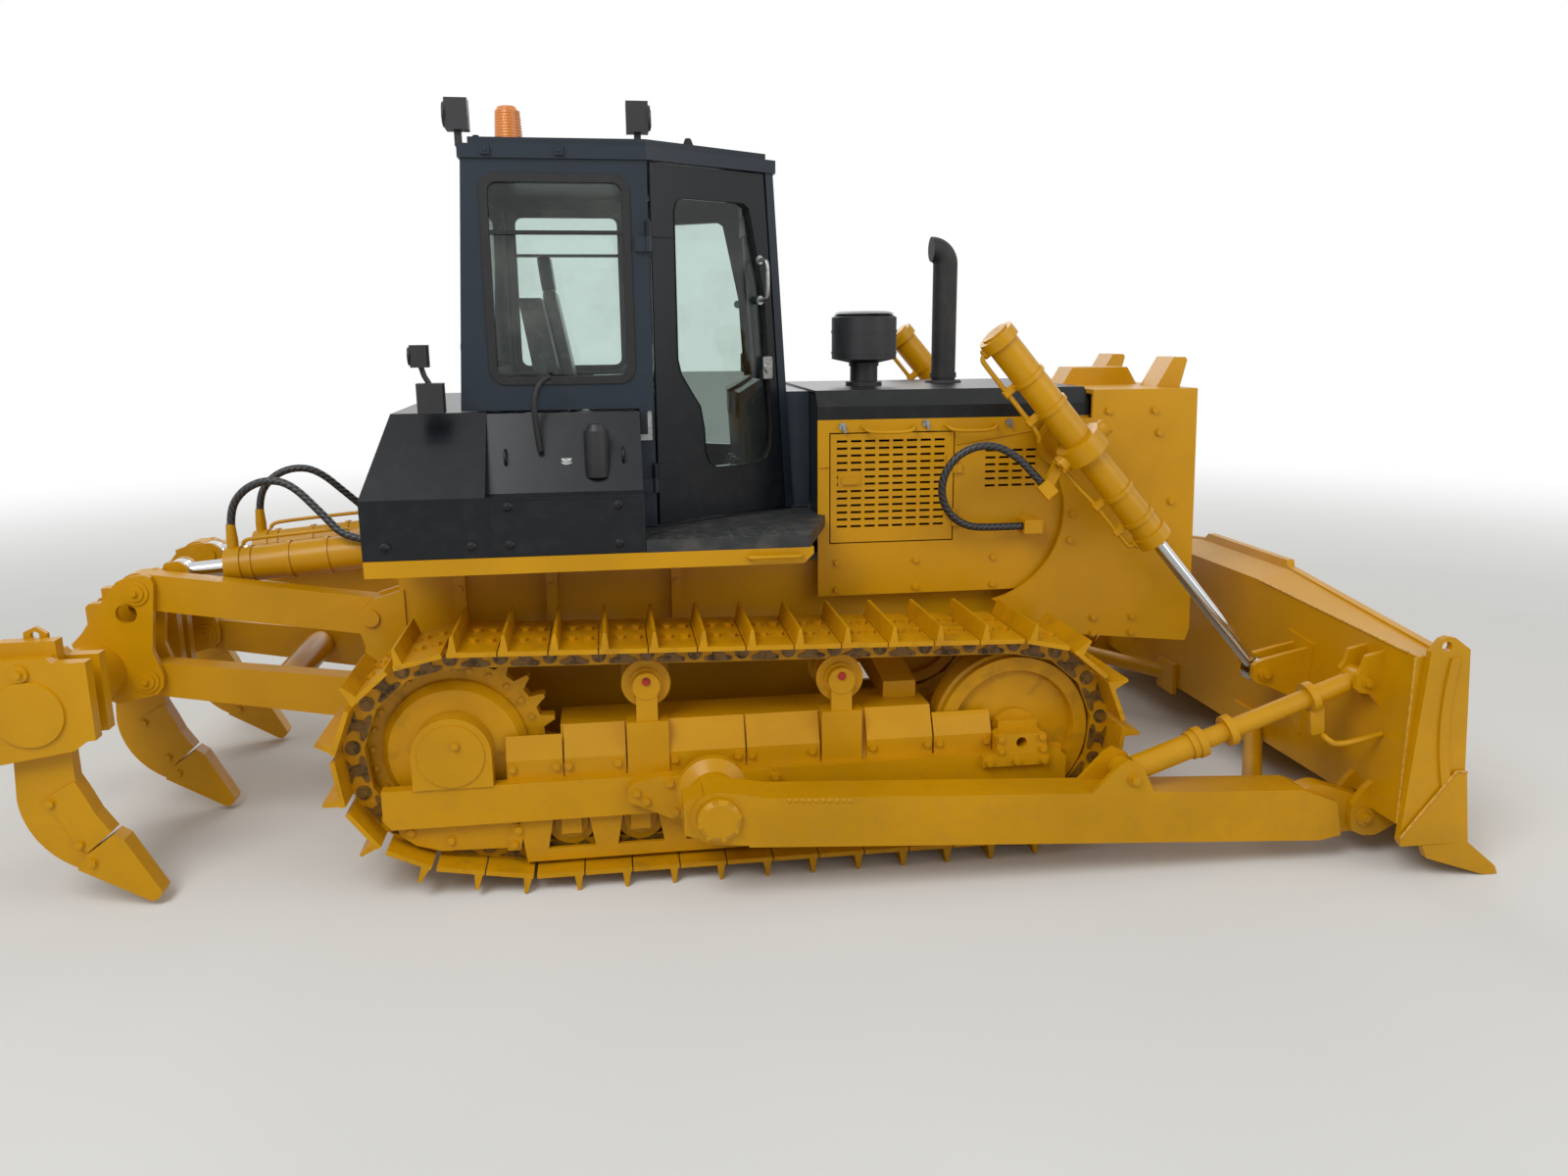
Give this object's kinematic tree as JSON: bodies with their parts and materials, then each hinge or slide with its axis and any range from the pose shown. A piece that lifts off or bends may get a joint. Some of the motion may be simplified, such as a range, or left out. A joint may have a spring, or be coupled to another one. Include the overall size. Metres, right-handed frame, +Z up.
{
  "type": "bulldozer",
  "caption": "Crawler tractor with a straight tilting blade, an enclosed cab and a rear ripper frame, parked on its tracks.",
  "frame": {"origin": "on the ground below the middle of the machine's box", "axes": "+X forward, +Y to the machine's left, +Z up"},
  "size_m": [6.176, 3.388, 3.2853],
  "materials": {
    "yellow_paint": "gloss",
    "dark_paint": "satin",
    "black_paint": "matte",
    "bare_steel": "worn",
    "chrome": "polished",
    "window_glass": "clear",
    "black_rubber": "satin",
    "black_plastic": "matte",
    "amber_plastic": "gloss",
    "seat_cloth": "matte",
    "cast_iron": "rough"
  },
  "bodies": {
    "tractor": {"track_right": "yellow_paint", "track_left": "yellow_paint", "sprockets": "yellow_paint", "idlers": "yellow_paint", "bottom_rollers": "yellow_paint", "carrier_rollers": "yellow_paint", "track_frames": "yellow_paint", "equalizer_bar": "yellow_paint", "main_frame": "yellow_paint", "engine": "cast_iron", "hood_top": "dark_paint", "side_panels": "yellow_paint", "radiator_guard": "yellow_paint", "grille": "yellow_paint", "front_lamps": "yellow_paint", "lamp_lenses": "window_glass", "precleaner": "black_plastic", "exhaust_pipe": "black_paint", "cab_sides": "dark_paint", "cab_rear": "dark_paint", "cab_front": "dark_paint", "cab_roof": "dark_paint", "cab_floor": "dark_paint", "cab_glass": "window_glass", "seat": "seat_cloth", "console": "black_plastic", "beacon": "amber_plastic", "work_lamps": "black_plastic", "fuel_tank": "dark_paint", "hydraulic_tank": "dark_paint", "battery_box": "dark_paint", "fenders": "yellow_paint", "step_plates": "black_paint", "lift_hose_right": "black_rubber", "lift_hose_left": "black_rubber", "ripper_hose_right": "black_rubber", "ripper_hose_left": "black_rubber"},
    "blade_frame": {"push_arms": "yellow_paint", "braces": "yellow_paint", "blade": "yellow_paint", "cutting_edge": "yellow_paint"},
    "lift_cylinders": {"lift_barrels": "yellow_paint", "yokes": "yellow_paint"},
    "lift_rods": {"lift_rods": "chrome"},
    "ripper_lower": {"ripper_lower_arms": "yellow_paint"},
    "ripper_upper": {"ripper_upper_arms": "yellow_paint"},
    "ripper_tool": {"ripper_beam": "yellow_paint", "ripper_shanks": "yellow_paint"},
    "ripper_cylinders": {"ripper_barrels": "yellow_paint"},
    "ripper_rods": {"ripper_rods": "chrome"},
    "cab_door_right": {"cab_door_right": "dark_paint", "door_glass_right": "window_glass"},
    "cab_door_left": {"cab_door_left": "dark_paint", "door_glass_left": "window_glass"},
    "engine_door_right": {"engine_door_right": "yellow_paint"},
    "engine_door_left": {"engine_door_left": "yellow_paint"}
  },
  "joints": [
    {"name": "blade_lift", "type": "hinge", "parent": "tractor", "child": "blade_frame", "pos_m": [-0.24, 0, 0.408], "axis": [0, -1, 0], "range_deg": [-9.3, 19]},
    {"name": "lift_cylinder_swing", "type": "hinge", "parent": "tractor", "child": "lift_cylinders", "pos_m": [1.48, 0, 1.8], "axis": [0, -1, 0], "range_deg": [-11.5, 23.4], "deforming": ["lift_hose_right", "lift_hose_left"]},
    {"name": "lift_rod_slide", "type": "slide", "parent": "lift_cylinders", "child": "lift_rods", "axis": [0.6506, 0, -0.7595], "range_m": [-0.72, 0.355]},
    {"name": "ripper_lift", "type": "hinge", "parent": "tractor", "child": "ripper_lower", "pos_m": [-1.712, 0, 0.66], "axis": [0, 1, 0], "range_deg": [-33.7, 38]},
    {"name": "ripper_upper_swing", "type": "hinge", "parent": "tractor", "child": "ripper_upper", "pos_m": [-1.712, 0, 1.06], "axis": [0, 1, 0], "range_deg": [-33.8, 38.1]},
    {"name": "ripper_tool_swing", "type": "hinge", "parent": "ripper_lower", "child": "ripper_tool", "pos_m": [-2.694, 0, 0.817], "axis": [0, 1, 0], "range_deg": [-38.1, 33.8]},
    {"name": "ripper_cylinder_swing", "type": "hinge", "parent": "tractor", "child": "ripper_cylinders", "pos_m": [-1.665, 0, 1.335], "axis": [0, 1, 0], "range_deg": [-35.5, 40], "deforming": ["ripper_hose_right", "ripper_hose_left"]},
    {"name": "ripper_rod_slide", "type": "slide", "parent": "ripper_cylinders", "child": "ripper_rods", "axis": [-0.9962, 0, -0.0866], "range_m": [-0.149, 0.133]},
    {"name": "cab_door_right_swing", "type": "hinge", "parent": "tractor", "child": "cab_door_right", "pos_m": [-0.422, -0.806, 2.2], "axis": [0, 0, -1], "range_deg": [0, 115]},
    {"name": "cab_door_left_swing", "type": "hinge", "parent": "tractor", "child": "cab_door_left", "pos_m": [-0.422, 0.806, 2.2], "axis": [0, 0, 1], "range_deg": [0, 115]},
    {"name": "engine_door_right_swing", "type": "hinge", "parent": "tractor", "child": "engine_door_right", "pos_m": [0.98, -0.57, 1.6], "axis": [0, 0, 1], "range_deg": [0, 50]},
    {"name": "engine_door_left_swing", "type": "hinge", "parent": "tractor", "child": "engine_door_left", "pos_m": [0.98, 0.57, 1.6], "axis": [0, 0, -1], "range_deg": [0, 50]}
  ],
  "couplings": [
    {"joint": "lift_cylinder_swing", "follows": "blade_lift", "ratio": 1.22},
    {"joint": "lift_rod_slide", "follows": "blade_lift", "m_per_rad": -2.1565},
    {"joint": "ripper_upper_swing", "follows": "ripper_lift", "ratio": 1},
    {"joint": "ripper_tool_swing", "follows": "ripper_lift", "ratio": -1},
    {"joint": "ripper_cylinder_swing", "follows": "ripper_lift", "ratio": 1.05},
    {"joint": "ripper_rod_slide", "follows": "ripper_lift", "m_per_rad": -0.223}
  ]
}
